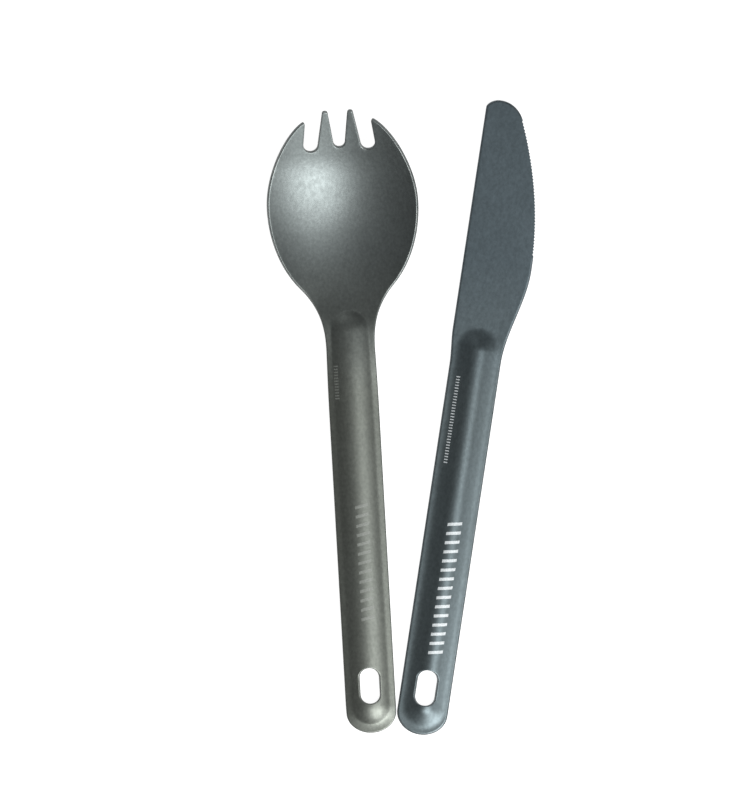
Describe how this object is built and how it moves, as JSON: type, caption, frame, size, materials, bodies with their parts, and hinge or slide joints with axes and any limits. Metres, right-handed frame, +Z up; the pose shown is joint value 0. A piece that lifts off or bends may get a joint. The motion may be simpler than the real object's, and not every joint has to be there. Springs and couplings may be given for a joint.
{
  "type": "picnic cutlery set",
  "caption": "Pressed aluminium spork with a dished, tined bowl beside a flat serrated table knife, both with ribbed handles and a slot to hang them by.",
  "frame": {"origin": "middle of the pair's footprint, on the table that the cutlery lies on", "axes": "+Y from the handles' ends towards the heads, +Z up, +X towards the knife"},
  "size_m": [0.0753, 0.1777, 0.0152],
  "materials": {
    "anodised_spork": "hard anodised, satin, neutral grey",
    "anodised_knife": "hard anodised, satin, blue grey"
  },
  "bodies": {
    "spork": {"spork": "anodised_spork"},
    "knife": {"knife": "anodised_knife"}
  },
  "joints": [
    {"name": "knife_lift", "type": "slide", "parent": "spork", "child": "knife", "axis": [0, 0, 1], "range_m": [0, 0.15]}
  ]
}
